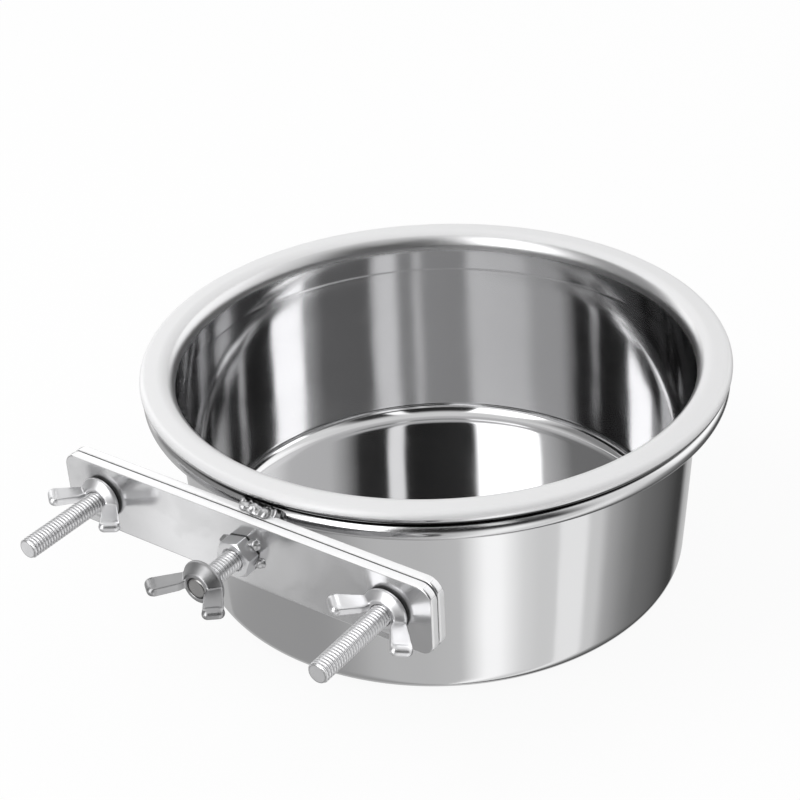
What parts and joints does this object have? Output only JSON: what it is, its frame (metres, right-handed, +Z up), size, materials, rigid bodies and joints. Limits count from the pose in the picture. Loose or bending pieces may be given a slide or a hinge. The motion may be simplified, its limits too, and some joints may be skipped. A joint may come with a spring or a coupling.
{
  "type": "clamp-on feeding bowl",
  "caption": "Polished steel feeding bowl whose rolled rim rests in a wire hoop, held on cage bars by a pair of clamp plates with wing nuts and a wing screw.",
  "frame": {"origin": "middle of the inner plate's jaw face, midway between the two studs", "axes": "+X along the clamp plates, +Z up, -Y the way the studs and the screw point; the bowl stands on the +Y side of the clamp"},
  "size_m": [0.176, 0.2121, 0.0705],
  "materials": {
    "bowl_steel": "mirror-polished stainless sheet, rim a little softer",
    "rod_steel": "polished rod",
    "plate_steel": "mirror-polished plate",
    "fastener_steel": "bright rolled thread",
    "wing_steel": "forged and barrel polished",
    "weld_metal": "bright lumpy weld"
  },
  "bodies": {
    "holder": {"hoop": "rod_steel", "hoop_welds": "weld_metal", "inner_plate": "plate_steel", "left_stud": "fastener_steel", "right_stud": "fastener_steel", "stud_welds": "weld_metal"},
    "bowl": {"bowl": "bowl_steel"},
    "clamp_plate": {"outer_plate": "plate_steel", "centre_nut": "fastener_steel", "nut_welds": "weld_metal"},
    "left_wing_nut": {"left_wing_nut": "wing_steel"},
    "right_wing_nut": {"right_wing_nut": "wing_steel"},
    "screw_rod": {"screw_rod": "fastener_steel"},
    "screw_wing": {"screw_wing": "wing_steel"}
  },
  "joints": [
    {"name": "bowl_lift", "type": "slide", "parent": "holder", "child": "bowl", "axis": [0, 0, 1], "range_m": [0, 0.08]},
    {"name": "plate_slide", "type": "slide", "parent": "holder", "child": "clamp_plate", "axis": [0, -1, 0], "range_m": [0, 0.025]},
    {"name": "left_nut_spin", "type": "hinge", "parent": "clamp_plate", "child": "left_wing_nut", "pos_m": [-0.0485, 0, 0], "axis": [0, -1, 0], "range_deg": [0, 9000]},
    {"name": "right_nut_spin", "type": "hinge", "parent": "clamp_plate", "child": "right_wing_nut", "pos_m": [0.0485, 0, 0], "axis": [0, -1, 0], "range_deg": [0, 9000]},
    {"name": "screw_slide", "type": "slide", "parent": "clamp_plate", "child": "screw_rod", "axis": [0, -1, 0], "range_m": [-0.0007, 0.0045]},
    {"name": "screw_spin", "type": "hinge", "parent": "screw_rod", "child": "screw_wing", "pos_m": [0.0018, 0, 0], "axis": [0, -1, 0], "range_deg": [-252, 1620]}
  ],
  "couplings": [
    {"joint": "left_nut_spin", "follows": "plate_slide", "rad_per_m": 6283.2},
    {"joint": "right_nut_spin", "follows": "plate_slide", "rad_per_m": 6283.2},
    {"joint": "screw_spin", "follows": "screw_slide", "rad_per_m": 6283.2}
  ]
}
